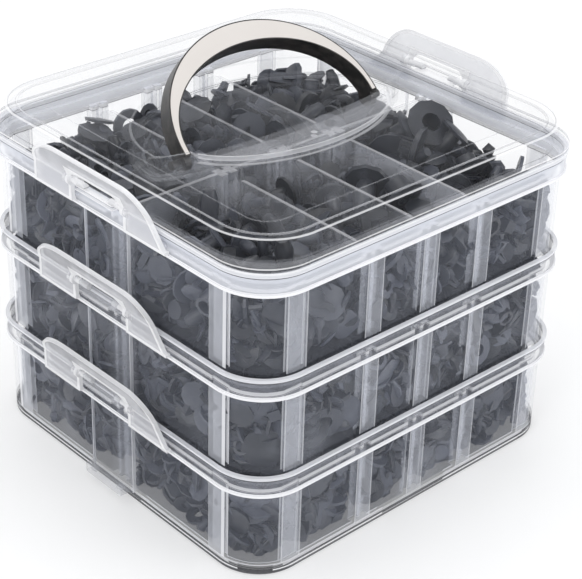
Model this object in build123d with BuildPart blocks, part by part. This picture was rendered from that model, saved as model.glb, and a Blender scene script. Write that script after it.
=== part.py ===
"""Three-tier stackable organiser case: three clear divided trays, a domed clear lid with a fold-down
carry handle, six snap latches, and the push-in trim clips that fill the compartments.

+Z is up and +Y is away from the side the long front wall faces. The origin is the centre of the foot
of the bottom tray. All sizes are in millimetres.
"""

from build123d import *
import os

# ------------------------------------------------------------------ driving sizes
width = 155.0  # X, over the rims
depth = 153.0  # Y, over the rims
corner_radius = 19.5  # plan radius of the rims
pitch = 37.7  # foot of one tray to the foot of the next
wall = 1.4
floor_thickness = 1.5
foot_height = 2.2  # floor's underside above the foot
foot_round = 0.7

rim_step = 1.9  # rim stands out this far from the wall
rim_low = 33.3  # underside of the rim band above the foot
rim_rise = 3.5  # rim top above the ledge that the next foot stands on
bead = 0.4  # how far the rim's two beads stand out
bead_height = 0.9
nest_gap = 0.45  # between a foot and the rim around it

divider_thickness = 1.2
divider_top = 34.8  # above the foot
slot_gap = 0.1  # each side of a divider in its guide
column_pitch = 25.6  # between the short dividers
guide_width = 7.4
guide_depth = 2.0
slot_depth = 1.6
divider_dip = 2.4  # the short dividers' ends drop this much
divider_dip_run = 9.0
post_width = 8.0  # stiffening strips beside the corners
post_depth = 0.6
post_inset_x = 18.5  # centre of a strip from the side of the case
post_inset_y = 21.3

hinge_panel_width = 23.4  # raised panel above each latch hinge
hinge_panel_rise = 1.2
block_width = 20.0
block_reach = 5.7  # hinge block, out from the wall
block_top = 7.5
body_gap = 0.3  # between pieces that move past each other

latch_width = 70.0
latch_thickness = 1.4
latch_gap = 1.1  # rim bead to the latch's inner face
latch_low = -2.3  # latch's lower edge from the foot it hangs on
crease_height = 5.9  # where the lever bends away from the case
lever_length = 11.2
lever_angle = 22.0
lever_corner = 18.0  # length of the rounded end's curve
slope_start = 17.0  # the other end slopes away from here, measured from the latch's end
slope_middle = (9.5, 7.0)  # a point on the slope: from the latch's end, and above the crease
slope_crease = 7.0  # where the slope meets the crease, from the latch's end
notch_width = 27.8
notch_top = 9.4
notch_radius = 5.0
pivot_height = 5.5  # latch pivot above the foot
pivot_reach = 3.7  # latch pivot out from the wall
pin_radius = 1.1
pin_grip = 3.2  # how far a latch pin enters the hinge block
pin_clearance = 0.06
boss_radius = 2.1
boss_length = 3.0
hook_height = 1.1
hook_gap = 0.15  # hook tip to the catch bar
catch_height = 1.1
catch_reach = 0.6  # out from the bead line
catch_low = 36.8
catch_length = 19.0

lid_flange = 2.4
lid_rise = 10.0  # deck above the flange's underside
lid_inset = 1.84  # dome side in from the rim outline
lid_corner = 23.0
lid_edge_round = 1.2
border_width = 4.6  # raised border of the deck
border_drop = 0.8
step_inset = 14.0  # shallow step inside the border
step_drop = 0.4

basin_x = 56.5  # half length of the recess that takes the folded handle
basin_back = 43.2
basin_front = 9.0
basin_depth = 10.4  # below the deck's border
scoop_x = 46.0  # half length of the shallow finger scoop in front of it
scoop_front = 27.5
scoop_depth = 3.1

handle_angle = 48.7  # from upright, leaning back
handle_pivot_y = 1.0
handle_pivot_drop = 8.1  # below the deck's border
strap_depth = 7.2
strap_offset = 1.6  # strap's middle plane in front of the pivot
arch_outer_x = 44.8
arch_outer_reach = 40.4
arch_inner_x = 42.3
arch_inner_reach = 31.9
arch_centre = 2.0
foot_boss_radius = 3.5
handle_pin_radius = 1.5
handle_pin_length = 3.7
facing_depth = 0.8
facing_edge = 0.45

cup_wall = 1.2
cup_gap = 0.5  # round the handle's foot
ear_thickness = 2.4
ear_rise = 3.3  # above the handle's pivot

clip_head = 6.6  # radius of a push-in trim clip's head
clip_length = 14.6
clip_shank = 2.8
clip_gap = 0.3

# ------------------------------------------------------------------ sizes that follow
floor_top = foot_height + floor_thickness
inner_x = width / 2 - rim_step - wall
inner_y = depth / 2 - rim_step - wall
wall_x = width / 2 - rim_step
lid_foot = 3 * pitch
flange_low = lid_foot + rim_rise
deck_top = flange_low + lid_rise
deck_underside = deck_top - border_drop - step_drop - wall + 0.4
basin_floor = deck_top - basin_depth
scoop_floor = deck_top - scoop_depth
latch_face = width / 2 + latch_gap
handle_pivot_z = deck_top - handle_pivot_drop
handle_plane = Plane(
    origin=(0, handle_pivot_y, handle_pivot_z),
    x_dir=(1, 0, 0),
    z_dir=Vector(0, 0, 1).rotate(Axis.X, 90 - handle_angle),
)
columns = [-column_pitch, 0.0, column_pitch]
tiers = ["bottom", "middle", "top"]

os.makedirs("parts", exist_ok=True)


def save(part, name):
    part.label = name
    export_step(part, f"parts/{name}.step")


def rounded(inset):
    """Size and corner radius of the case outline, set in from the rims."""
    return width - 2 * inset, depth - 2 * inset, corner_radius - inset


# ------------------------------------------------------------------ trays
def build_tray(foot):
    guide_height = divider_top - floor_top
    with BuildPart() as tray:
        with BuildSketch(Plane.XY.offset(foot)):
            RectangleRounded(*rounded(rim_step))
        extrude(amount=pitch)
        fillet(tray.faces().sort_by(Axis.Z)[0].edges(), foot_round)
        with BuildSketch(Plane.XY.offset(foot + rim_low)):
            RectangleRounded(*rounded(bead))
        extrude(amount=pitch + rim_rise - rim_low)
        for level in (rim_low, pitch + rim_rise - bead_height):
            with BuildSketch(Plane.XY.offset(foot + level)):
                RectangleRounded(*rounded(0))
            extrude(amount=bead_height)

        # inside, the socket for the next foot, and the recess under the floor
        with BuildSketch(Plane.XY.offset(foot + floor_top)):
            RectangleRounded(*rounded(rim_step + wall))
        extrude(amount=pitch, mode=Mode.SUBTRACT)
        with BuildSketch(Plane.XY.offset(foot + pitch)):
            RectangleRounded(*rounded(rim_step - nest_gap))
        extrude(amount=rim_rise, mode=Mode.SUBTRACT)
        with BuildSketch(Plane.XY.offset(foot)):
            RectangleRounded(*rounded(rim_step + wall))
        extrude(amount=foot_height, mode=Mode.SUBTRACT)

        # slotted guides that hold the dividers' ends, and plain strips beside the corners
        guide_y = inner_y - guide_depth / 2
        guide_x = inner_x - guide_depth / 2
        stand = (Align.CENTER, Align.CENTER, Align.MIN)
        with Locations(*[(x, s * guide_y, foot + floor_top) for x in columns for s in (-1, 1)]):
            Box(guide_width, guide_depth, guide_height, align=stand)
        with Locations(*[(s * guide_x, 0, foot + floor_top) for s in (-1, 1)]):
            Box(guide_depth, guide_width, guide_height, align=stand)
        slot = divider_thickness + 2 * slot_gap
        slot_y = inner_y - guide_depth + slot_depth / 2
        slot_x = inner_x - guide_depth + slot_depth / 2
        with Locations(*[(x, s * slot_y, foot + floor_top) for x in columns for s in (-1, 1)]):
            Box(slot, slot_depth, guide_height, align=stand, mode=Mode.SUBTRACT)
        with Locations(*[(s * slot_x, 0, foot + floor_top) for s in (-1, 1)]):
            Box(slot_depth, slot, guide_height, align=stand, mode=Mode.SUBTRACT)
        post_x = width / 2 - post_inset_x
        post_y = depth / 2 - post_inset_y
        strip_y = inner_y - post_depth / 2
        strip_x = inner_x - post_depth / 2
        with Locations(*[(r * post_x, s * strip_y, foot + floor_top) for r in (-1, 1) for s in (-1, 1)]):
            Box(post_width, post_depth, guide_height, align=stand)
        with Locations(*[(s * strip_x, r * post_y, foot + floor_top) for r in (-1, 1) for s in (-1, 1)]):
            Box(post_depth, post_width, guide_height, align=stand)

        # raised panel, hinge block and catch bars, on both latch sides
        low = rim_rise + body_gap
        for s in (-1, 1):
            with Locations((s * (wall_x + hinge_panel_rise / 2), 0, foot + low)):
                Box(hinge_panel_rise, hinge_panel_width, rim_low - low, align=stand)
            hinge_block(s, foot)
            with Locations(*[
                (s * (width / 2 - bead), r * (notch_width + catch_length) / 2, foot + catch_low)
                for r in (-1, 1)
            ]):
                Box(2 * (bead + catch_reach), catch_length, catch_height, align=stand)
        # the catch bars were centred on the rim face: clear the socket behind it again
        with BuildSketch(Plane.XY.offset(foot + pitch)):
            RectangleRounded(*rounded(rim_step - nest_gap))
        extrude(amount=rim_rise, mode=Mode.SUBTRACT)
    return tray.part


def hinge_block(s, foot):
    """Block with a blind pin hole in each end, added to the part under construction."""
    low = rim_rise + body_gap
    stand = (Align.CENTER, Align.CENTER, Align.MIN)
    depth_in = pin_grip + body_gap
    with Locations((s * (wall_x + block_reach / 2), 0, foot + low)):
        Box(block_reach, block_width, block_top - low, align=stand)
    with Locations(*[
        (s * (wall_x + pivot_reach), r * (block_width - depth_in) / 2, foot + pivot_height)
        for r in (-1, 1)
    ]):
        Cylinder(pin_radius + pin_clearance, depth_in, rotation=(90, 0, 0), mode=Mode.SUBTRACT)


# ------------------------------------------------------------------ dividers
def build_long_divider(foot):
    height = divider_top - floor_top
    stand = (Align.CENTER, Align.CENTER, Align.MIN)
    length = 2 * (inner_x - guide_depth + slot_depth - slot_gap)
    slot = divider_thickness + 2 * slot_gap
    guide_y = divider_thickness / 2 + guide_depth - slot_depth / 2
    with BuildPart() as divider:
        with Locations((0, 0, foot + floor_top)):
            Box(length, divider_thickness, height, align=stand)
        with Locations(*[(x, 0, foot + floor_top) for x in columns]):
            Box(guide_width, divider_thickness + 2 * guide_depth, height, align=stand)
        with Locations(*[(x, s * guide_y, foot + floor_top) for x in columns for s in (-1, 1)]):
            Box(slot, slot_depth, height, align=stand, mode=Mode.SUBTRACT)
        ends = divider.faces().filter_by(Axis.X).group_by(Axis.X)
        for face in (ends[0][0], ends[-1][0]):
            corner = face.edges().sort_by(Axis.Z)[-1]
            fillet(corner, divider_dip)
    return divider.part


def build_short_divider(x, s, foot):
    near = divider_thickness / 2 + guide_depth - slot_depth + slot_gap
    far = inner_y - guide_depth + slot_depth - slot_gap
    low, top = foot + floor_top, foot + divider_top
    with BuildPart() as divider:
        with BuildSketch(Plane.YZ.offset(x - divider_thickness / 2)) as profile:
            with BuildLine():
                Polyline(
                    (s * near, low),
                    (s * far, low),
                    (s * far, top - divider_dip),
                    (s * (far - divider_dip_run), top),
                    (s * (near + divider_dip_run), top),
                    (s * near, top - divider_dip),
                    close=True,
                )
            make_face()
            fillet(profile.vertices().group_by(Axis.Z)[-1], divider_dip_run)
        extrude(amount=divider_thickness)
    return divider.part


# ------------------------------------------------------------------ latches
def build_latch(s, foot):
    """Snap latch on side s, hung on the hinge block whose foot level is given."""
    lever_plane = Plane(
        origin=(s * latch_face, 0, foot + crease_height),
        x_dir=(0, s, 0),
        z_dir=Vector(s, 0, 0).rotate(Axis.Y, s * lever_angle),
    )
    strip_height = crease_height - latch_low
    pivot = (s * (wall_x + pivot_reach), foot + pivot_height)
    tip = width / 2 + catch_reach + hook_gap
    hook_depth = latch_face + latch_thickness - tip
    side_length = (latch_width - notch_width) / 2
    side_y = (latch_width + notch_width) / 4
    stand = (Align.CENTER, Align.CENTER, Align.MIN)
    half = latch_width / 2
    with BuildPart() as latch:
        # hanging strip, its one end cut on the slope
        with BuildSketch(Plane.YZ.offset(s * (latch_face + latch_thickness / 2) - latch_thickness / 2)):
            with BuildLine():
                Polyline(
                    (-s * half, foot + latch_low),
                    (s * half, foot + latch_low),
                    (s * (half - slope_crease), foot + crease_height),
                    (-s * half, foot + crease_height),
                    close=True,
                )
            make_face()
        extrude(amount=latch_thickness)
        # lever, tilted away from the case
        with BuildSketch(lever_plane):
            with BuildLine():
                Line((-half, 0), (half - slope_crease, 0))
                ThreePointArc(
                    (half - slope_crease, 0),
                    (half - slope_middle[0], slope_middle[1]),
                    (half - slope_start, lever_length),
                )
                Line((half - slope_start, lever_length), (lever_corner - half, lever_length))
                EllipticalCenterArc(
                    (lever_corner - half, 0), lever_corner, lever_length, 90, arc_size=90
                )
            make_face()
        extrude(amount=latch_thickness)
        with Locations(*[(s * (tip + hook_depth / 2), r * side_y, foot + latch_low) for r in (-1, 1)]):
            Box(hook_depth, side_length, hook_height, align=stand)
        with BuildSketch(Plane.YZ.offset(s * latch_face - 3 * latch_thickness)) as notch:
            with Locations((0, foot + notch_top)):
                Rectangle(notch_width, 2 * (notch_top - latch_low), align=(Align.CENTER, Align.MAX))
            fillet(notch.vertices().group_by(Axis.Z)[-1], notch_radius)
        extrude(amount=6 * latch_thickness, mode=Mode.SUBTRACT)
        # hinge bosses and the pins that enter the hinge block
        pin_length = (notch_width - block_width) / 2 + pin_grip
        with Locations(*[(pivot[0], r * (notch_width + boss_length) / 2, pivot[1]) for r in (-1, 1)]):
            Cylinder(boss_radius, boss_length, rotation=(90, 0, 0))
        with Locations(*[(pivot[0], r * (notch_width - pin_length) / 2, pivot[1]) for r in (-1, 1)]):
            Cylinder(pin_radius, pin_length, rotation=(90, 0, 0))
    return latch.part


# ------------------------------------------------------------------ lid
def basin_plan(grow=0):
    """Plan of the recess that takes the folded handle."""
    with BuildSketch() as plan:
        with BuildLine():
            EllipticalCenterArc((0, 0), basin_x + grow, basin_back + grow, 0, arc_size=180)
            EllipticalCenterArc((0, 0), basin_x + grow, basin_front + grow, 180, arc_size=180)
        make_face()
    return plan.sketch


def scoop_plan(grow=0):
    """Plan of the shallow finger scoop in front of the recess."""
    with BuildSketch() as plan:
        with BuildLine():
            Line((scoop_x + grow, 0), (-scoop_x - grow, 0))
            EllipticalCenterArc((0, 0), scoop_x + grow, scoop_front + grow, 180, arc_size=180)
        make_face()
    return plan.sketch


def dome_outline(inset):
    return width - 2 * (lid_inset + inset), depth - 2 * (lid_inset + inset), lid_corner - inset


foot_middle = (arch_inner_x + arch_outer_x) / 2
cavity_inner = arch_inner_x - cup_gap
ear_inner = arch_outer_x + 2 * cup_gap
cavity_half = foot_boss_radius + cup_gap
cavity_floor = handle_pivot_z - cavity_half
with BuildPart() as lid:
    with BuildSketch(Plane.XY.offset(lid_foot)):
        RectangleRounded(*rounded(rim_step))
    extrude(amount=rim_rise)
    with BuildSketch(Plane.XY.offset(flange_low)):
        RectangleRounded(*rounded(0))
    extrude(amount=lid_flange)
    with BuildSketch(Plane.XY.offset(flange_low)):
        RectangleRounded(*dome_outline(0))
    extrude(amount=lid_rise)
    fillet(lid.faces().sort_by(Axis.Z)[-1].edges(), lid_edge_round)

    # hollow underside
    with BuildSketch(Plane.XY.offset(lid_foot)):
        RectangleRounded(*rounded(rim_step + wall))
    extrude(amount=rim_rise + lid_flange - wall, mode=Mode.SUBTRACT)
    with BuildSketch(Plane.XY.offset(flange_low)):
        RectangleRounded(*dome_outline(wall))
    extrude(amount=deck_underside - flange_low, mode=Mode.SUBTRACT)

    # raised border and shallow step of the deck
    with BuildSketch(Plane.XY.offset(deck_top - border_drop)):
        RectangleRounded(*dome_outline(border_width))
    extrude(amount=border_drop, mode=Mode.SUBTRACT)
    with BuildSketch(Plane.XY.offset(deck_top - border_drop - step_drop)):
        RectangleRounded(*dome_outline(step_inset))
    extrude(amount=step_drop, mode=Mode.SUBTRACT)

    # walls and floors of the recess and the scoop, and the cups for the handle's feet
    with BuildSketch(Plane.XY.offset(basin_floor - wall)):
        add(basin_plan(wall))
    extrude(amount=deck_underside - basin_floor + wall)
    with BuildSketch(Plane.XY.offset(scoop_floor - wall)):
        add(scoop_plan(wall))
    extrude(amount=deck_underside - scoop_floor + wall)
    cup_outer = ear_inner + ear_thickness
    cup_size = cup_outer - cavity_inner + cup_wall
    cup_middle = (cup_outer + cavity_inner - cup_wall) / 2
    cup_floor = cavity_floor - cup_wall
    with Locations(*[(s * cup_middle, handle_pivot_y, cup_floor) for s in (-1, 1)]):
        Box(
            cup_size,
            2 * (cavity_half + cup_wall),
            scoop_floor - cup_floor,
            align=(Align.CENTER, Align.CENTER, Align.MIN),
        )
    with BuildSketch(Plane.XY.offset(basin_floor)):
        add(basin_plan())
    extrude(amount=basin_depth, mode=Mode.SUBTRACT)
    with BuildSketch(Plane.XY.offset(scoop_floor)):
        add(scoop_plan())
    extrude(amount=scoop_depth, mode=Mode.SUBTRACT)
    for s in (-1, 1):
        with Locations((s * (cavity_inner + ear_inner) / 2, handle_pivot_y, cavity_floor)):
            Box(
                ear_inner - cavity_inner,
                2 * cavity_half,
                basin_depth + cavity_half,
                align=(Align.CENTER, Align.CENTER, Align.MIN),
                mode=Mode.SUBTRACT,
            )
        # ear with the hole for the handle's pin
        with BuildSketch(Plane.YZ.offset(s * (ear_inner + ear_thickness / 2) - ear_thickness / 2)):
            with Locations((handle_pivot_y, handle_pivot_z)):
                Circle(ear_rise)
                Rectangle(2 * ear_rise, cavity_half, align=(Align.CENTER, Align.MAX))
        extrude(amount=ear_thickness)
        with Locations((s * (ear_inner + ear_thickness / 2), handle_pivot_y, handle_pivot_z)):
            Cylinder(
                handle_pin_radius + pin_clearance,
                2 * ear_thickness,
                rotation=(0, 90, 0),
                mode=Mode.SUBTRACT,
            )
    # hinge blocks for the two lid latches, and room in the flange for the latches' bosses
    for s in (-1, 1):
        hinge_block(s, lid_foot)
        boss_y = (notch_width + boss_length) / 2
        with Locations(*[(s * (wall_x + pivot_reach), r * boss_y, lid_foot + pivot_height) for r in (-1, 1)]):
            Cylinder(
                boss_radius + body_gap,
                boss_length + 2 * body_gap,
                rotation=(90, 0, 0),
                mode=Mode.SUBTRACT,
            )
save(lid.part, "lid")

# ------------------------------------------------------------------ handle
def arch_outline(edge):
    """Crescent outline of the handle's strap, its edges moved in by edge."""
    out_x, out_y = arch_outer_x - edge, arch_outer_reach - arch_centre - edge
    in_x, in_y = arch_inner_x + edge, arch_inner_reach - arch_centre + edge
    with BuildSketch() as outline:
        with BuildLine():
            EllipticalCenterArc((0, arch_centre), out_x, out_y, 0, arc_size=180)
            Polyline((-out_x, arch_centre), (-out_x, edge), (-in_x, edge), (-in_x, arch_centre))
            EllipticalCenterArc((0, arch_centre), in_x, in_y, 0, arc_size=180)
            Polyline((in_x, arch_centre), (in_x, edge), (out_x, edge), (out_x, arch_centre))
        make_face()
    return outline.sketch


strap_front = strap_offset + strap_depth / 2
with BuildPart() as handle:
    with BuildSketch(handle_plane.offset(strap_offset - strap_depth / 2)):
        add(arch_outline(0))
    extrude(amount=strap_depth)
    with BuildSketch(handle_plane.offset(strap_front - facing_depth)):
        add(arch_outline(facing_edge))
    extrude(amount=facing_depth, mode=Mode.SUBTRACT)
    pin_end = arch_outer_x + handle_pin_length
    with Locations(*[(s * foot_middle, handle_pivot_y, handle_pivot_z) for s in (-1, 1)]):
        Cylinder(foot_boss_radius, arch_outer_x - arch_inner_x, rotation=(0, 90, 0))
    with Locations(*[
        (s * (foot_middle + pin_end) / 2, handle_pivot_y, handle_pivot_z) for s in (-1, 1)
    ]):
        Cylinder(handle_pin_radius, pin_end - foot_middle, rotation=(0, 90, 0))
save(handle.part, "handle")

with BuildPart() as handle_facing:
    with BuildSketch(handle_plane.offset(strap_front - facing_depth)):
        add(arch_outline(facing_edge))
    extrude(amount=facing_depth)
save(handle_facing.part, "handle_facing")

# ------------------------------------------------------------------ trays, dividers and latches
for tier, name in enumerate(tiers):
    foot = tier * pitch
    save(build_tray(foot), f"{name}_tray")
    save(build_long_divider(foot), f"{name}_long_divider")
    for s, row in ((-1, "front"), (1, "back")):
        for number, x in enumerate(columns, 1):
            save(build_short_divider(x, s, foot), f"{name}_{row}_divider_{number}")
for tier, name in enumerate(["middle", "top", "lid"], 1):
    for s, side in ((-1, "left"), (1, "right")):
        save(build_latch(s, tier * pitch), f"{name}_latch_{side}")

# ------------------------------------------------------------------ push-in trim clips
# Each clip lies in its own cell of a compartment, inside the smallest ball that holds it.
with BuildPart() as plain_clip:
    with BuildSketch(Plane.XZ):
        with BuildLine():
            Polyline(
                (0, clip_length / 2),
                (clip_head, clip_length / 2 - 0.6),
                (clip_head, clip_length / 2 - 1.8),
                (clip_head - 3.4, clip_length / 2 - 2.2),
                (clip_head - 3.4, clip_length / 2 - 4.0),
                (clip_shank, clip_length / 2 - 4.4),
                (clip_shank, 0.5),
                (clip_shank + 1.3, -0.6),
                (clip_shank + 1.3, -3.0),
                (clip_shank - 1.0, 1.5 - clip_length / 2),
                (0, -clip_length / 2),
                close=True,
            )
        make_face()
    revolve(axis=Axis.Z)

with BuildPart() as tree_clip:
    with BuildSketch(Plane.XZ):
        with BuildLine():
            fins = [
                point
                for i in range(4)
                for point in (
                    (clip_shank + 1.0, clip_length / 2 - 3.6 - 2.8 * i),
                    (clip_shank - 1.2, clip_length / 2 - 5.4 - 2.8 * i),
                )
            ]
            Polyline(
                (0, clip_length / 2),
                (clip_head - 1.5, clip_length / 2 - 0.4),
                (clip_head - 1.5, clip_length / 2 - 1.9),
                (clip_shank - 1.2, clip_length / 2 - 2.1),
                *fins,
                (0, -clip_length / 2),
                close=True,
            )
        make_face()
    revolve(axis=Axis.Z)

with BuildPart() as grommet:
    with BuildSketch(Plane.XZ):
        with BuildLine():
            Polyline(
                (clip_shank, 3.0),
                (clip_head, 3.0),
                (clip_head, 1.0),
                (clip_head - 1.8, 0.6),
                (clip_head - 1.8, -0.6),
                (clip_head, -1.0),
                (clip_head, -3.0),
                (clip_shank, -3.0),
                close=True,
            )
        make_face()
    revolve(axis=Axis.Z)

kinds = [plain_clip.part, tree_clip.part, grommet.part]
edges_x = [-inner_x, *columns, inner_x]
margin = guide_depth + divider_thickness / 2
for tier, name in enumerate(tiers):
    rest = tier * pitch + floor_top
    for s, row in ((-1, "front"), (1, "back")):
        for column in range(4):
            left, right = edges_x[column] + margin, edges_x[column + 1] - margin
            near, far = margin, inner_y - guide_depth
            ball = 2 * (clip_length**2 / 4 + clip_head**2) ** 0.5 + clip_gap
            across = max(1, int((right - left) // ball))
            along = max(1, int((far - near) // ball))
            with BuildPart() as clips:
                for i in range(across):
                    for j in range(along):
                        turn = 7 * tier + 5 * column + 3 * i + 11 * j + s
                        place = Location(
                            (
                                left + (i + 0.5) * (right - left) / across,
                                s * (near + (j + 0.5) * (far - near) / along),
                                rest + ball / 2,
                            ),
                            (90 + 31 * (turn % 4), 40 * (turn % 5), 67 * turn % 360),
                        )
                        with Locations(place):
                            add(kinds[turn % 3])
            save(clips.part, f"{name}_clips_{row}_{column + 1}")
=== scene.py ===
"""Looks of the three-tier organiser case: clear and frosted plastic, the ivory-faced handle, and
the heaps of push-in trim clips that fill its compartments. The scene is in metres, in the case's
own frame: +Z up, the front wall towards -Y, the latch sides at -X and +X. The case's sizes are
given in millimetres."""

import bpy
import numpy as np
from mathutils import Matrix, Vector


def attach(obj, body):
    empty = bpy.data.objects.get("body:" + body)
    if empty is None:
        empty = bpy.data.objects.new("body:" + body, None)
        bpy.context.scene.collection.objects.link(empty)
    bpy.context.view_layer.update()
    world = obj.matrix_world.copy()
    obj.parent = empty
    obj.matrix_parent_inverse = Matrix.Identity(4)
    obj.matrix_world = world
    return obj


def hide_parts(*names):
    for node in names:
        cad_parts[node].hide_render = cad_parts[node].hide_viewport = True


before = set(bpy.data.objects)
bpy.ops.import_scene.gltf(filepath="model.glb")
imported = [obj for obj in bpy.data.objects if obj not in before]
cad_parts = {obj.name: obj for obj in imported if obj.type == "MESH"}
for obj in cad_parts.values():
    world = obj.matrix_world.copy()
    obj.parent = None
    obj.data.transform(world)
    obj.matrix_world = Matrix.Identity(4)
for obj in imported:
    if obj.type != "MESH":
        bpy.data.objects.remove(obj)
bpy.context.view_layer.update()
MM = 0.001
TIERS = ["bottom", "middle", "top"]
PITCH = 37.7  # height that each tier adds to the stack
COLUMN = 25.6  # short dividers stand at x = 0 and at this far to each side
TRAY_FLOOR = 3.75  # top of a tray's floor above its foot
CORNER_CENTRE = (58.0, 57.0)  # centre of the rounded inner corner of a tray
CORNER_REACH = 15.8  # how far a clip may reach from that centre


# ------------------------------------------------------------------ material maths
class Amount:
    """One number in a material. Arithmetic on it adds the Math nodes."""

    def __init__(self, finish, socket):
        self.finish, self.socket = finish, socket

    def maths(self, operation, *inputs):
        return self.finish.node(
            "ShaderNodeMath", dict(operation=operation), dict(enumerate(inputs))
        )

    def __add__(self, other):
        return self.maths("ADD", self, other)

    def __sub__(self, other):
        return self.maths("SUBTRACT", self, other)

    def __mul__(self, other):
        return self.maths("MULTIPLY", self, other)

    def __abs__(self):
        return self.maths("ABSOLUTE", self)

    def __gt__(self, other):
        return self.maths("GREATER_THAN", self, other)

    def __lt__(self, other):
        return self.maths("LESS_THAN", self, other)

    __radd__, __rmul__ = __add__, __mul__

    def near(self, middle, half):
        """1 where the number is within half of middle, 0 elsewhere."""
        return self.maths("COMPARE", self, middle, half)

    def rise(self, low, high, start=0.0, end=1.0):
        """Eases from start to end as the number goes from low to high."""
        return self.finish.node(
            "ShaderNodeMapRange",
            dict(interpolation_type="SMOOTHSTEP"),
            {"Value": self, "From Min": low, "From Max": high, "To Min": start, "To Max": end},
        )


def larger(*amounts):
    """The largest of several numbers."""
    first, *rest = amounts
    for other in rest:
        first = first.maths("MAXIMUM", first, other)
    return first


def length(a, b):
    """The length of a flat vector: the root of a^2 + b^2."""
    return a.maths("SQRT", a * a + b * b)


class Finish:
    """A material with one Principled shader, and the tools that make its patterns."""

    def __init__(self, name):
        self.material = bpy.data.materials.new(name)
        self.material.use_nodes = True
        self.tree = self.material.node_tree
        self.shader = next(n for n in self.tree.nodes if n.type == "BSDF_PRINCIPLED")

    def node(self, kind, settings=None, inputs=None, output=0):
        """Adds a node with its settings and inputs, and gives back one of its outputs."""
        n = self.tree.nodes.new(kind)
        for key, value in (settings or {}).items():
            setattr(n, key, value)
        for key, value in (inputs or {}).items():
            if isinstance(value, Amount):
                self.tree.links.new(value.socket, n.inputs[key])
            else:
                n.inputs[key].default_value = value
        return Amount(self, n.outputs[output])

    def set(self, **values):
        """Sets or links the shader's own sockets; underscores stand for spaces."""
        for key, value in values.items():
            socket = self.shader.inputs[key.replace("_", " ")]
            if isinstance(value, Amount):
                self.tree.links.new(value.socket, socket)
            else:
                socket.default_value = value
        return self

    def place(self):
        """Object coordinates as a vector, and as x, y and z in millimetres."""
        spot = self.node("ShaderNodeTexCoord", output="Object")
        mm = self.node(
            "ShaderNodeVectorMath", dict(operation="SCALE"), {0: spot, "Scale": 1 / MM}
        )
        apart = "ShaderNodeSeparateXYZ"
        x = self.node(apart, None, {0: mm})
        parts = x.socket.node.outputs
        return spot, x, Amount(self, parts[1]), Amount(self, parts[2])

    def noise(self, spot, scale, detail=2.0, stretch=None):
        if stretch:
            spot = self.node("ShaderNodeMapping", None, {"Vector": spot, "Scale": stretch})
        return self.node(
            "ShaderNodeTexNoise", None, {"Vector": spot, "Scale": scale, "Detail": detail}
        )

    def mix(self, factor, first, second):
        """A colour between two colours."""
        inputs = {"Factor": factor, 6: first, 7: second}
        return self.node("ShaderNodeMix", dict(data_type="RGBA"), inputs, output=2)

    def bump(self, height, strength, distance):
        return self.node(
            "ShaderNodeBump", None, {"Strength": strength, "Distance": distance, "Height": height}
        )

    def gloss(self):
        """How mirror-like the surface is where it turns away: (1 - cos)^4 of the facing angle."""
        facing = self.node("ShaderNodeLayerWeight", None, {"Blend": 0.5}, output="Facing")
        return facing.maths("POWER", facing, 4.0)


def paint(finish, *nodes):
    """Gives CAD nodes their finish."""
    for name in nodes:
        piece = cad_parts[name]
        if not piece.material_slots:
            piece.data.materials.append(finish.material)
        for slot in piece.material_slots:
            slot.material = finish.material


# ------------------------------------------------------------------ finishes of the case
PALE = (0.86, 0.87, 0.91, 1.0)
# near-black grey for the lid's painted shadow lines
SHADE_LINE_GREY = (0.10, 0.105, 0.125, 1.0)


def rounded_edge(finish, x, y, half_x, half_y, radius):
    """Distance outside a rounded rectangle: the length of the part of (|x|, |y|) past the
    corner centres, less the radius. Negative inside."""
    past_x = larger(abs(x) - (half_x - radius), 0.0)
    past_y = larger(abs(y) - (half_y - radius), 0.0)
    return length(past_x, past_y) - radius


def oval(x, y, half_x, half_y):
    """1 on an ellipse, less inside it and more outside: the root of (x/a)^2 + (y/b)^2."""
    return length(x * (1 / half_x), y * (1 / half_y))


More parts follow.
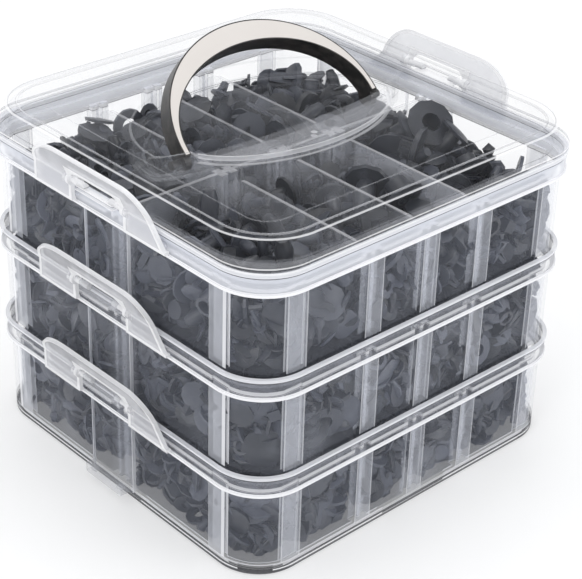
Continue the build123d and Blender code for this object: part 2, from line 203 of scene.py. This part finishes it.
def tray_plastic(tier, foot):
    """Clear moulded wall with frosted strips, rim beads round a band, and foot lines. The beads,
    foot lines and post, guide and panel edges carry painted highlights; painted shadow lines run
    under the beads and along the bottom tray's base, and the floor and the lower tiers' band carry
    painted shade.
    """
    f = Finish(f"{tier}_tray_plastic")
    spot, x, y, z = f.place()
    h = z - foot
    ax, ay = abs(x), abs(y)
    haze = f.noise(spot, 45.0, 3.0)
    scuff = f.noise(spot, 80.0, 4.0, stretch=(1.0, 1.0, 0.25))
    on_wall = h.near(18.5, 14.5)
    front = (ay > 70.9) * on_wall
    outer = (ay > 72.6) * on_wall
    guide = larger(ax.near(0.0, 3.7), ax.near(COLUMN, 3.7)) * front
    guide_edge = larger(ax.near(3.5, 0.25), abs(ax - COLUMN).near(3.45, 0.25)) * outer
    post = ax.near(59.0, 4.0) * (ay > 72.3) * on_wall
    post_edge = larger(ax.near(62.75, 0.25), ax.near(55.3, 0.3)) * (ay > 72.3) * on_wall
    side_post = ay.near(55.2, 4.0) * (ax > 73.3) * on_wall
    side_edge = larger(ay.near(58.6, 0.75), ay.near(51.4, 0.2) * 0.5) * (ax > 73.3) * on_wall
    panel = (ax > 71.9) * y.near(-5.9, 5.9) * on_wall
    panel_edge = ay.near(11.5, 0.22) * (ax > 75.0) * on_wall
    strip = larger(guide * 0.26, post * 0.27, side_post * 0.31, panel * 0.13)
    frosted = strip * (0.85 + 0.3 * scuff)
    block = (ax > 76.9) * (ay < 10.2) * (h < 7.7)
    bead = larger(h.near(40.6, 0.75) * 0.8, h.near(33.95, 0.70))
    band = h.near(37.2, 3.0)
    is_bottom = 1.0 if tier == "bottom" else 0.0
    milky = 0.30 if tier == "top" else 0.0
    foot_line = larger(h.near(4.0, 0.25) * 0.7, h.near(1.75, 0.25)) * (ax + ay > 90.0) * is_bottom
    # painted highlights: the rim beads, a thin line under the lower bead, the guide, post and panel
    # edges and the foot lines are painted near-white where light catches them
    painted_highlight = larger(
        bead, h.near(32.95, 0.08), guide_edge * 0.5, post_edge * 0.5, side_edge * 0.8,
        panel_edge * 0.6, foot_line,
    )
    # painted shadow lines: the gaps under the upper bead and under the lower bead, and the bottom
    # tray's base edge, are painted near-black
    painted_shadow_line = larger(h.near(39.7, 0.13), h.near(33.15, 0.12), h.near(0.4, 0.9) * is_bottom)
    # painted shade: the floor inside the walls gets a near-black tint at 0.40 alpha, standing in
    # for the shade among the heaped clips
    inside = (ax < 73.9) * (ay < 72.9) * (h < 3.9)
    glaze = f.gloss()
    alpha = larger(
        0.042 + 0.06 * haze.rise(0.50, 0.75) + 0.12 * glaze,
        frosted,
        painted_highlight * 0.84,
        band * (0.14 + milky + 0.14 * haze),
        painted_shadow_line * 0.85,
        inside * 0.40,
        block * 0.26,
    )
    tint = f.mix(haze, (0.58, 0.63, 0.76, 1.0), (0.72, 0.75, 0.84, 1.0))
    # painted shade: on the lower tiers the clear band is tinted deep grey for the shaded gap where
    # the tray above nests
    tint = f.mix(band * (0.0 if milky else 0.8), tint, (0.36, 0.37, 0.41, 1.0))
    tint = f.mix(block, tint, (0.60, 0.61, 0.64, 1.0))
    tint = f.mix(larger(strip * 2.5, band * milky * 3), tint, (0.80, 0.82, 0.88, 1.0))
    tint = f.mix(painted_highlight, tint, (0.95, 0.95, 0.97, 1.0))
    tint = f.mix(larger(painted_shadow_line, inside), tint, (0.06, 0.062, 0.072, 1.0))
    f.set(
        Base_Color=tint,
        Alpha=alpha,
        Roughness=larger(0.12 + 0.12 * haze, frosted * 1.1),
        Normal=f.bump(f.noise(spot, 160.0, 2.0), 0.06, 0.0004),
        IOR=1.49,
    )
    return f


def divider_plastic(tier, foot):
    """Thin translucent dividers with a painted highlight along the top edge, and frosted slotted
    posts.
    """
    f = Finish(f"{tier}_divider_plastic")
    spot, x, y, z = f.place()
    h = z - foot
    ax = abs(x)
    haze = f.noise(spot, 60.0, 3.0)
    # painted highlight: the top edge is painted near-white and a little more opaque
    top = h.near(34.7, 0.16)
    post = larger(ax.near(0.0, 3.8), ax.near(COLUMN, 3.8)) * abs(y).near(1.7, 1.2)
    is_top = 1.0 if tier == "top" else 0.0
    blade = x.near(COLUMN, 1.5) * (y < -12.0) * (h > 23.5) * is_top
    alpha = larger(
        0.065 + 0.07 * haze.rise(0.4, 0.7) + 0.15 * f.gloss(),
        top * 0.28,
        (h > 22.0) * 0.07,
        post * 0.16,
        blade * (0.20 + 0.14 * haze),
    )
    tint = f.mix(haze, (0.74, 0.77, 0.86, 1.0), PALE)
    f.set(
        Base_Color=f.mix(top, tint, (0.95, 0.95, 0.98, 1.0)),
        Alpha=alpha,
        Roughness=0.20 + 0.2 * haze,
        Normal=f.bump(f.noise(spot, 260.0, 2.0), 0.10, 0.0004),
        IOR=1.49,
    )
    return f


def latch_plastic(level, side, foot, pale):
    """Frosted latch with painted highlights along its outline, crease, notch and hook edge."""
    f = Finish(f"{level}_latch_{side}_plastic")
    spot, _, y, z = f.place()
    s = -1.0 if side == "left" else 1.0
    u = y * s
    h = z - foot
    haze = f.noise(spot, 70.0, 3.0)
    streak = f.noise(spot, 30.0, 3.0, stretch=(1.0, 0.7, 1.5))
    lever = (h - 5.9) * (1 / np.cos(np.radians(22.0)))
    top_edge = (lever > 10.1) * 1.0
    round_end = (oval(u + 17.0, lever, 18.0, 11.2) > 0.90) * (u < -17.0) * (lever > 0.0)
    # the slope's outer curve: circle through its three points
    p = np.array([(28.0, 0.0), (25.5, 7.0), (18.0, 11.2)])
    rows = np.c_[2 * p, np.ones(3)]
    cx, cy, k = np.linalg.solve(rows, (p**2).sum(1))
    reach = np.sqrt(k + cx * cx + cy * cy)
    slope = oval(u - cx, lever - cy, reach, reach)
    slope_edge = (slope > 1 - 1.3 / reach) * (u > 15.5) * (lever > 0.0)
    strip_end = (u + (h + 2.3) * 0.85 > 33.4) * (h < 5.9)
    far_end = u < -33.7
    notch = (abs(u) < 15.3) * (h < 10.8) * (h > -2.4)
    crease = h.near(5.9, 0.5)
    hook = h < -1.2
    # painted highlights: the outline, notch, crease and hook are painted near-white and more opaque
    border = larger(top_edge, round_end, slope_edge, strip_end, far_end * 1.0, notch)
    painted_highlight = larger(border, crease * 0.7, hook * 1.0)
    alpha = larger(
        0.24 + pale * 0.10 + 0.10 * haze.rise(0.35, 0.7) + 0.2 * f.gloss(),
        (h < 5.9) * (0.30 + 0.10 * haze + pale * 0.08),
        painted_highlight * (0.66 + pale * 0.05),
    )
    tint = f.mix(streak, (0.72, 0.73, 0.77, 1.0), (0.80, 0.80, 0.83, 1.0))
    f.set(
        Base_Color=f.mix(painted_highlight, tint, (0.92, 0.92, 0.93, 1.0)),
        Alpha=alpha,
        Roughness=0.22 + 0.2 * haze,
        Normal=f.bump(f.noise(spot, 420.0, 2.0), 0.15, 0.0003),
        IOR=1.49,
    )
    return f


def lid_plastic():
    """Clear domed lid: flange and deck beads, a step line, and the recess and scoop, with painted
    highlights on the beads and edges, painted shadow lines beside them, and a painted sheen towards
    the back.
    """
    f = Finish("lid_plastic")
    spot, x, y, z = f.place()
    haze = f.noise(spot, 25.0, 3.0)
    fine = f.noise(spot, 90.0, 2.0)
    edge = rounded_edge(f, x, y, 75.66, 74.66, 23.0)
    deck = z > 124.6
    flange = z.near(117.8, 1.25)
    flange_line = larger(z.near(118.7, 0.26), z.near(116.95, 0.30)) * (edge > 1.3)
    # painted shadow line along the flange
    flange_shadow = z.near(118.2, 0.14)
    deck_line = larger(edge.near(-0.75, 0.35), edge.near(-4.5, 0.2) * 0.6) * deck
    # painted shadow lines just inside the deck's edge
    deck_shadow = larger(edge.near(-4.15, 0.14), edge.near(-1.5, 0.2)) * deck
    step_line = edge.near(-14.0, 0.2) * deck
    back_oval = oval(x, y, 56.5, 43.2)
    front_oval = oval(x, y, 56.5, 9.0)
    basin = larger(
        back_oval.near(1.0, 0.017) * (y > 0.0), front_oval.near(1.0, 0.05) * (y < 0.0)
    )
    scoop = oval(x, y, 46.0, 27.5)
    scoop_line = scoop.near(1.0, 0.022) * (y < -8.0)
    scoop_face = (scoop < 1.0) * (front_oval > 1.0) * (y < 0.0)
    # painted shadow line where the recess floor meets its wall
    floor_line = oval(x, y, 53.0, 38.5).near(1.0, 0.007) * (y > 0.0) * z.near(116.2, 0.3)
    cup = (z < 115.4) * (abs(x) < 60.0) * (abs(y) < 12.0)
    gate = oval(x, y + 17.0, 1.2, 1.2) < 1.0
    skirt = z < 116.0
    # painted sheen: the deck is made lighter and more opaque towards the back
    far = y.rise(-10.0, 60.0) * deck
    # painted highlights: the flange and deck lines, the step line, the recess rim, the scoop edge
    # and the gate mark are painted near-white
    painted_highlight = larger(
        flange_line, deck_line * 0.9, step_line * 0.3, basin * (z > 125.0) * 0.35, scoop_line * 0.6,
        gate * 0.6,
    )
    # painted shade: the shadow lines get a near-black tint
    painted_shade = larger(flange_shadow, deck_shadow * 0.7, floor_line * 0.8)
    alpha = larger(
        0.020 + 0.03 * haze.rise(0.50, 0.75) + 0.10 * f.gloss(),
        flange * 0.12,
        painted_highlight * 0.62,
        painted_shade * 0.5,
        scoop_face * (0.05 + 0.10 * haze),
        cup * 0.06,
        skirt * 0.06,
        far * 0.17,
    )
    tint = f.mix(haze, (0.30, 0.31, 0.34, 1.0), (0.42, 0.43, 0.46, 1.0))
    tint = f.mix(larger(scoop_face, flange, far), tint, (0.75, 0.76, 0.80, 1.0))
    tint = f.mix(painted_highlight, tint, (0.97, 0.97, 0.98, 1.0))
    tint = f.mix(painted_shade, tint, SHADE_LINE_GREY)
    f.set(
        Base_Color=tint,
        Alpha=alpha,
        Roughness=0.07 + 0.08 * fine,
        Normal=f.bump(haze, 0.10, 0.002),
        IOR=1.49,
    )
    return f


def handle_black():
    """Black moulded strap with faint layered flow lines on its outer face."""
    f = Finish("handle_black")
    spot, *_ = f.place()
    layers = f.noise(spot, 60.0, 4.0, stretch=(0.3, 6.0, 6.0))
    speck = f.noise(spot, 900.0, 2.0)
    f.set(
        Base_Color=f.mix(
            layers.rise(0.4, 0.65), (0.012, 0.011, 0.0105, 1.0), (0.040, 0.036, 0.033, 1.0)
        ),
        Roughness=0.30 + 0.15 * layers,
        Normal=f.bump(speck, 0.15, 0.0002),
        Specular_IOR_Level=0.55,
    )
    return f


def handle_ivory():
    """Pearly ivory facing with a fine grain along the arch."""
    f = Finish("handle_ivory")
    spot, *_ = f.place()
    grain = f.noise(spot, 120.0, 3.0)
    cloud = f.noise(spot, 22.0, 2.0)
    f.set(
        Base_Color=f.mix(cloud, (0.66, 0.615, 0.575, 1.0), (0.745, 0.71, 0.675, 1.0)),
        Roughness=0.30 + 0.12 * grain,
        Metallic=0.15,
        Normal=f.bump(grain, 0.10, 0.0003),
        Coat_Weight=0.3,
        Coat_Roughness=0.15,
    )
    return f


def clip_nylon():
    """Black nylon: each clip a little lighter or darker, with a dusty bloom and fine pitting."""
    f = Finish("clip_nylon")
    spot, *_ = f.place()
    tone = f.node("ShaderNodeAttribute", dict(attribute_name="tone"), output="Fac")
    bloom = f.noise(spot, 220.0, 3.0)
    pit = f.noise(spot, 500.0, 2.0)
    tint = f.mix(tone, (0.007, 0.0085, 0.013, 1.0), (0.074, 0.082, 0.108, 1.0))
    f.set(
        Base_Color=f.mix(bloom.rise(0.5, 0.8, 0.0, 0.25), tint, (0.15, 0.16, 0.19, 1.0)),
        Roughness=0.27 + 0.2 * bloom,
        Normal=f.bump(pit, 0.08, 0.0002),
        Specular_IOR_Level=0.5,
    )
    return f


for index, tier in enumerate(TIERS):
    foot = index * PITCH
    paint(tray_plastic(tier, foot), f"{tier}_tray")
    paint(
        divider_plastic(tier, foot),
        f"{tier}_long_divider",
        *[f"{tier}_{row}_divider_{k}" for row in ("front", "back") for k in (1, 2, 3)],
    )
for index, level in enumerate(("middle", "top", "lid"), 1):
    for side in ("left", "right"):
        pale = 1.0 if level == "lid" else 0.0
        paint(latch_plastic(level, side, index * PITCH, pale), f"{level}_latch_{side}")
paint(lid_plastic(), "lid")
paint(handle_black(), "handle")
paint(handle_ivory(), "handle_facing")


# ------------------------------------------------------------------ trim clips
def rings_of(profile, count, square=0.0):
    """Each (radius, height) of a profile as count points about +Z: the radius times
    (cos t, sin t), divided by the fourth root of cos^4 t + sin^4 t as far as it is square."""
    turn = np.arange(count) * 2 * np.pi / count
    corner = 1 + square * ((np.cos(turn) ** 4 + np.sin(turn) ** 4) ** -0.25 - 1)
    ring = np.stack([np.cos(turn) * corner, np.sin(turn) * corner], 1)
    radii = np.repeat(profile[:, :1], count, 1)[..., None] * ring
    heights = np.repeat(profile[:, 1:], count, 1)[..., None]
    return np.concatenate([radii, heights], 2).reshape(-1, 3)


def turned(profile, count=10, square=0.0):
    """A solid from a profile that starts and ends on the axis, turned about +Z by rings_of."""
    profile = np.array(profile, float)
    rings = profile[1:-1]
    points = rings_of(rings, count, square)
    points = np.vstack([points, (0, 0, profile[0, 1]), (0, 0, profile[-1, 1])])
    i = np.arange(len(rings) - 1)[:, None] * count
    a = np.arange(count)[None]
    b = (a + 1) % count
    quads = np.stack([i + a, i + count + a, i + count + b, i + b], 2).reshape(-1, 4)
    a, b = a[0], b[0]
    last = (len(rings) - 1) * count
    top = np.stack([a, b, np.full(count, len(points) - 2)], 1)
    low = np.stack([last + b, last + a, np.full(count, len(points) - 1)], 1)
    return points, quads.tolist() + top.tolist() + low.tolist()


def hoop(profile, count=12):
    """A closed loop of (radius, height) points turned about +Z, for a washer or a grommet."""
    profile = np.array(profile, float)
    rows = len(profile)
    i = np.arange(rows)[:, None] * count
    j = (np.arange(rows)[:, None] + 1) % rows * count
    a = np.arange(count)[None]
    b = (a + 1) % count
    quads = np.stack([i + a, j + a, j + b, i + b], 2).reshape(-1, 4)
    return rings_of(profile, count), quads.tolist()


def wedge(corner_low, corner_high, lean):
    """A box between two corners whose lower end is moved sideways by lean."""
    low, high = np.array(corner_low, float), np.array(corner_high, float)
    pick = np.array([(i, j, k) for k in (0, 1) for j in (0, 1) for i in (0, 1)])
    points = low + pick * (high - low)
    points[:4, 0] += lean
    return points, [
        [0, 2, 3, 1], [4, 5, 7, 6], [0, 1, 5, 4], [2, 6, 7, 3], [0, 4, 6, 2], [1, 3, 7, 5],
    ]


def together(*shapes):
    """Several shapes as one list of points and one of faces."""
    points, faces, start = [], [], 0
    for p, q in shapes:
        points.append(p)
        faces += [[v + start for v in face] for face in q]
        start += len(p)
    return np.vstack(points), faces


# each kind has its head at the origin and its stem towards -Z
CLIP_KINDS = {
    "push": turned(
        [(0, 1.3), (4.6, 1.0), (7.2, 0.2), (6.8, -0.9), (3.0, -1.3), (3.6, -7.2), (2.2, -12.2),
         (0, -12.8)]
    ),
    "tree": turned(
        [(0, 0.8), (6.3, 0.3), (5.9, -0.8), (1.7, -1.2), (3.6, -4.0), (1.7, -4.7), (3.3, -7.6),
         (1.6, -8.2), (2.8, -11.0), (0, -13.6)],
        9,
    ),
    "grommet": hoop(
        [(3.2, 1.0), (8.0, 0.5), (7.7, -0.9), (4.9, -1.3), (4.3, -7.0), (2.9, -7.0)], 11
    ),
    "washer": hoop([(3.0, 0.7), (7.0, 0.7), (7.0, -0.7), (3.0, -0.7)], 14),
    "seat": together(
        turned([(0, 1.0), (7.4, 0.9), (7.0, -0.9), (3.4, -1.6), (0, -1.6)], 12, square=0.9),
        wedge((-3.2, -2.2, -10.5), (-1.2, 2.2, -1.2), 1.3),
        wedge((1.2, -2.2, -10.5), (3.2, 2.2, -1.2), -1.3),
        wedge((-5.6, -0.7, -5.2), (-3.0, 0.7, -1.2), 1.9),
    ),
    "rivet": turned(
        [(0, 2.4), (3.4, 1.9), (8.3, 0.0), (7.9, -1.0), (4.4, -1.4), (4.0, -5.8), (0, -6.4)], 12
    ),
    "pin": together(
        turned(
            [(0, 0.9), (5.0, 0.6), (4.8, -0.7), (2.0, -1.0), (1.7, -9.0), (0.9, -15.5), (0, -15.8)],
            8,
        ),
        wedge((-0.6, -3.4, -9.0), (0.6, 3.4, -3.2), 0.0),
    ),
}


KIND_SHARES = [0.25, 0.2, 0.13, 0.09, 0.13, 0.12, 0.08]


def turned_by(q):
    """Rotation matrix of a unit quaternion (w, x, y, z)."""
    w, x, y, z = q
    return np.array([
        (1 - 2 * (y * y + z * z), 2 * (x * y - w * z), 2 * (x * z + w * y)),
        (2 * (x * y + w * z), 1 - 2 * (x * x + z * z), 2 * (y * z - w * x)),
        (2 * (x * z - w * y), 2 * (y * z + w * x), 1 - 2 * (x * x + y * y)),
    ])


def tossed(rng, kind, least, bias):
    """A clip of one kind, turned at random. Its size is least + u^bias / 2 of its kind's, where u
    is even between 0 and 1."""
    shape, sides = CLIP_KINDS[kind]
    q = rng.normal(size=4)
    body = shape @ turned_by(q / np.linalg.norm(q)).T * (least + 0.5 * rng.uniform() ** bias)
    return body, sides


def past_corner(xy):
    """How far points lie outside the centres of the case's rounded corners."""
    return np.hypot(*np.maximum(np.abs(xy) - CORNER_CENTRE, 0).T)


def against_walls(rng, cell, foot, fill, least):
    """Clips that lie against the case's outer walls of one compartment, about 7 mm apart along the
    wall and 6 mm apart in height, each pushed out until it meets the wall."""
    x0, x1, y0, y1 = cell
    outer_y = y1 if y1 > 50 else y0
    outer_x = x0 if x0 < -50 else x1 if x1 > 50 else None
    spots = [(u, outer_y) for u in np.arange(x0 + 5, x1 - 4, 7.0)]
    if outer_x is not None:
        spots += [(outer_x, u) for u in np.arange(y0 + 5, y1 - 4, 7.0)]
    for x, y in spots:
        for z in np.arange(foot + 6.5, fill - 2.0, 6.0):
            body, sides = tossed(rng, rng.choice(list(CLIP_KINDS)), least, 1.5)
            low, high = body.min(0), body.max(0)
            at = np.array([x, y]) + rng.uniform(-3, 3, 2)
            at = np.clip(at, (x0 - low[0], y0 - low[1]), (x1 - high[0], y1 - high[1]))
            past = past_corner(body[:, :2] + at).max()
            if past > CORNER_REACH:
                at = at * (1 - (past - CORNER_REACH) * 1.45 / np.hypot(*at))
            lowest, highest = foot + TRAY_FLOOR - low[2], foot + 37.0 - high[2]
            yield at, np.clip(z + rng.uniform(-2, 2), lowest, highest), body, sides


def heap(name, tier, node, cell, foot, fill, ceiling, seed, least, placed=()):
    """Drops clips one by one into a compartment, more of them beside its walls. A clip is turned at
    random, tried at several places, and left at the lowest one, where a quarter of its corners have
    sunk to the heap's height map. least is the smallest clip's size, as a share of its kind's.
    placed adds the listed clips (kind, where, tilt in degrees, size). Returns the number of clips."""
    rng = np.random.default_rng(seed)
    x0, x1, y0, y1 = cell
    step = 2.4
    nx, ny = int((x1 - x0) / step) + 2, int((y1 - y0) / step) + 2
    level = np.full((nx, ny), foot + TRAY_FLOOR)
    level[-1], level[:, -1] = fill, fill
    points, faces, tones = [], [], []

    def lay(body, sides, tone):
        start = sum(map(len, points))
        points.append(body)
        faces.extend([v + start for v in side] for side in sides)
        tones.append(np.full(len(body), tone))

    for at, z, body, sides in against_walls(rng, cell, foot, fill, least):
        lay(body + (*at, z), sides, rng.uniform() ** 2)
    misses = 0
    while level.mean() < fill and misses < 80:
        body, sides = tossed(rng, rng.choice(list(CLIP_KINDS), p=KIND_SHARES), least, 1.6)
        low, high = body.min(0), body.max(0)
        room = np.array([(x0 - low[0], x1 - high[0]), (y0 - low[1], y1 - high[1])])
        best = None
        for share in rng.beta(0.55, 0.55, (9, 2)):
            at = room[:, 0] + share * (room[:, 1] - room[:, 0])
            xy = body[:, :2] + at
            if (room[:, 0] >= room[:, 1]).any() or past_corner(xy).max() > CORNER_REACH:
                continue
            i, j = ((xy - (x0, y0)) / step).astype(int).T
            gaps = np.sort(level[i, j] - body[:, 2])
            z = max(gaps[-len(gaps) // 4], foot + TRAY_FLOOR - low[2])
            if (body[:, 2] + z > ceiling(xy)).any():
                continue
            if best is None or z < best[0]:
                best = (z, at, i, j)
        if best is None:
            misses += 1
            continue
        z, at, i, j = best
        np.maximum.at(level, (i, j), body[:, 2] + z)
        lay(body + (*at, z), sides, rng.uniform() ** 2)
    for kind, where, tilt, size in placed:
        shape, sides = CLIP_KINDS[kind]
        a, b, c = np.radians(tilt)
        turn = Matrix.Rotation(c, 3, "Z") @ Matrix.Rotation(b, 3, "Y") @ Matrix.Rotation(a, 3, "X")
        lay(shape @ np.array(turn).T * size + where, sides, 0.15)
    mesh = bpy.data.meshes.new(name)
    mesh.from_pydata((np.vstack(points) * MM).tolist(), [], faces)
    mesh.shade_smooth()
    mesh.set_sharp_from_angle(angle=np.radians(42))
    tone = mesh.attributes.new("tone", "FLOAT", "POINT")
    tone.data.foreach_set("value", np.concatenate(tones).astype(np.float32))
    piece = bpy.data.objects.new(name, mesh)
    bpy.context.scene.collection.objects.link(piece)
    mesh.materials.append(NYLON.material)
    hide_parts(node)
    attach(piece, tier + "_tier")
    return len(points)


NYLON = clip_nylon()
# the compartments between the dividers, from left to right
LEFTS = [-74.0, -24.7, 0.9, 26.5]
RIGHTS = [-26.5, -0.9, 24.7, 74.0]


def under_tray(foot):
    """Clear height below the tray above."""
    return lambda xy: np.full(len(xy), foot + 37.5)


def under_lid(xy):
    """Clear height below the lid: less under the recess and under the scoop."""
    x, y = xy[:, 0], xy[:, 1]
    back = (x / 59.0) ** 2 + (np.where(y > 0, y / 46.0, y / 12.0)) ** 2 < 1
    scoop = (x / 48.0) ** 2 + (y / 29.5) ** 2 < 1
    return np.where(back, 113.6, np.where(scoop & (y < 0), 121.0, 123.0))


# the big grommets and clips that stand out of the top tray's heaps
STANDING = {
    "top_clips_front_4": [
        ("grommet", (60.0, -16.0, 109.0), (35, -25, 10), 1.15),
        ("rivet", (54.0, -11.0, 106.0), (60, 10, 40), 1.0),
        ("push", (66.0, -24.0, 106.5), (20, 40, 0), 0.95),
        ("seat", (47.0, -22.0, 104.5), (100, 10, 30), 1.1),
    ],
    "top_clips_front_3": [
        ("push", (14.0, -30.0, 105.0), (70, 20, 120), 1.15),
        ("grommet", (17.0, -45.0, 104.0), (120, 10, 0), 0.95),
    ],
    "top_clips_back_1": [
        ("tree", (-37.0, 60.0, 106.0), (15, 12, 0), 1.0),
        ("tree", (-30.0, 66.0, 107.0), (-10, 20, 0), 0.9),
    ],
}
count = 0
for index, tier in enumerate(TIERS):
    foot = index * PITCH
    for r, (row, rows) in enumerate((("front", (-73.0, -2.9)), ("back", (2.9, 73.0)))):
        for k in range(4):
            node = f"{tier}_clips_{row}_{k + 1}"
            if tier == "top":
                fill = 22.0 if row == "front" and k < 3 else 24.5
                ceiling, least = under_lid, 0.5
            else:
                fill, ceiling, least = 33.5, under_tray(foot), 0.66
            count += heap(
                node.replace("clips", "heap"),
                tier,
                node,
                (LEFTS[k], RIGHTS[k], *rows),
                foot,
                foot + fill,
                ceiling,
                100 * index + 10 * r + k,
                least,
                STANDING.get(node, ()),
            )
print("clips in all", count)


# ------------------------------------------------------------------ floor, light and camera
floor_finish = Finish("studio_floor")
spot, *_ = floor_finish.place()
mottle = floor_finish.noise(spot, 3.0, 2.0)
floor_finish.set(
    Base_Color=floor_finish.mix(mottle, (0.60, 0.60, 0.60, 1.0), (0.63, 0.63, 0.63, 1.0)),
    Roughness=0.8,
    Specular_IOR_Level=0.1,
    Emission_Color=(1.0, 1.0, 1.0, 1.0),
    Emission_Strength=0.36,
)
mesh = bpy.data.meshes.new("studio_floor")
reach = 6.0
corners = [(-reach, -reach, 0), (reach, -reach, 0), (reach, reach, 0), (-reach, reach, 0)]
mesh.from_pydata(corners, [], [(0, 1, 2, 3)])
mesh.materials.append(floor_finish.material)
floor = bpy.data.objects.new("studio_floor", mesh)
bpy.context.scene.collection.objects.link(floor)

world = bpy.data.worlds.new("studio")
world.use_nodes = True
background = next(n for n in world.node_tree.nodes if n.type == "BACKGROUND")
background.inputs["Color"].default_value = (0.97, 0.98, 1.0, 1.0)
background.inputs["Strength"].default_value = 0.77
bpy.context.scene.world = world


CASE_MIDDLE = Vector((0, 0, 0.06))


def softbox(name, place, size, power, tint=(1.0, 1.0, 1.0)):
    """A rectangular lamp that faces the middle of the case."""
    lamp = bpy.data.lights.new(name, "AREA")
    lamp.shape, lamp.size, lamp.size_y = "RECTANGLE", *size
    lamp.energy, lamp.color = power, tint
    holder = bpy.data.objects.new(name, lamp)
    aim = (Vector(place) - CASE_MIDDLE).to_track_quat("Z", "Y").to_matrix().to_4x4()
    holder.matrix_world = Matrix.Translation(place) @ aim
    bpy.context.scene.collection.objects.link(holder)


softbox("overhead", (0.1, 0.25, 1.3), (1.2, 0.9), 5.8)
softbox("left_window", (-1.1, -0.3, 0.75), (0.5, 0.9), 3.8)
softbox("right_window", (0.6, -1.1, 0.6), (0.9, 0.5), 3.8, (0.98, 0.99, 1.0))

CAMERA_PLACE = (-0.368497, -0.400190, 0.370780)
azimuth, elevation, roll = np.radians(-43.203), np.radians(30.252), 0.031
right = np.array([np.cos(azimuth), np.sin(azimuth), 0.0])
back = np.array(
    [np.sin(azimuth) * np.cos(elevation), -np.cos(azimuth) * np.cos(elevation), np.sin(elevation)]
)
up = np.cross(back, right)
across = np.cos(roll) * right + np.sin(roll) * up
upright = -np.sin(roll) * right + np.cos(roll) * up
lens = bpy.data.cameras.new("camera")
lens.sensor_width, lens.lens = 36.0, 105.46
lens.clip_start, lens.clip_end = 0.01, 30.0
camera = bpy.data.objects.new("camera", lens)
turn = np.stack([across, upright, back], 1)
camera.matrix_world = Matrix([(*row, at) for row, at in zip(turn, CAMERA_PLACE)] + [(0, 0, 0, 1)])
bpy.context.scene.collection.objects.link(camera)
bpy.context.scene.camera = camera
bpy.context.scene.view_settings.view_transform = "Standard"
bpy.context.scene.cycles.transparent_max_bounces = 48

bpy.context.view_layer.update()
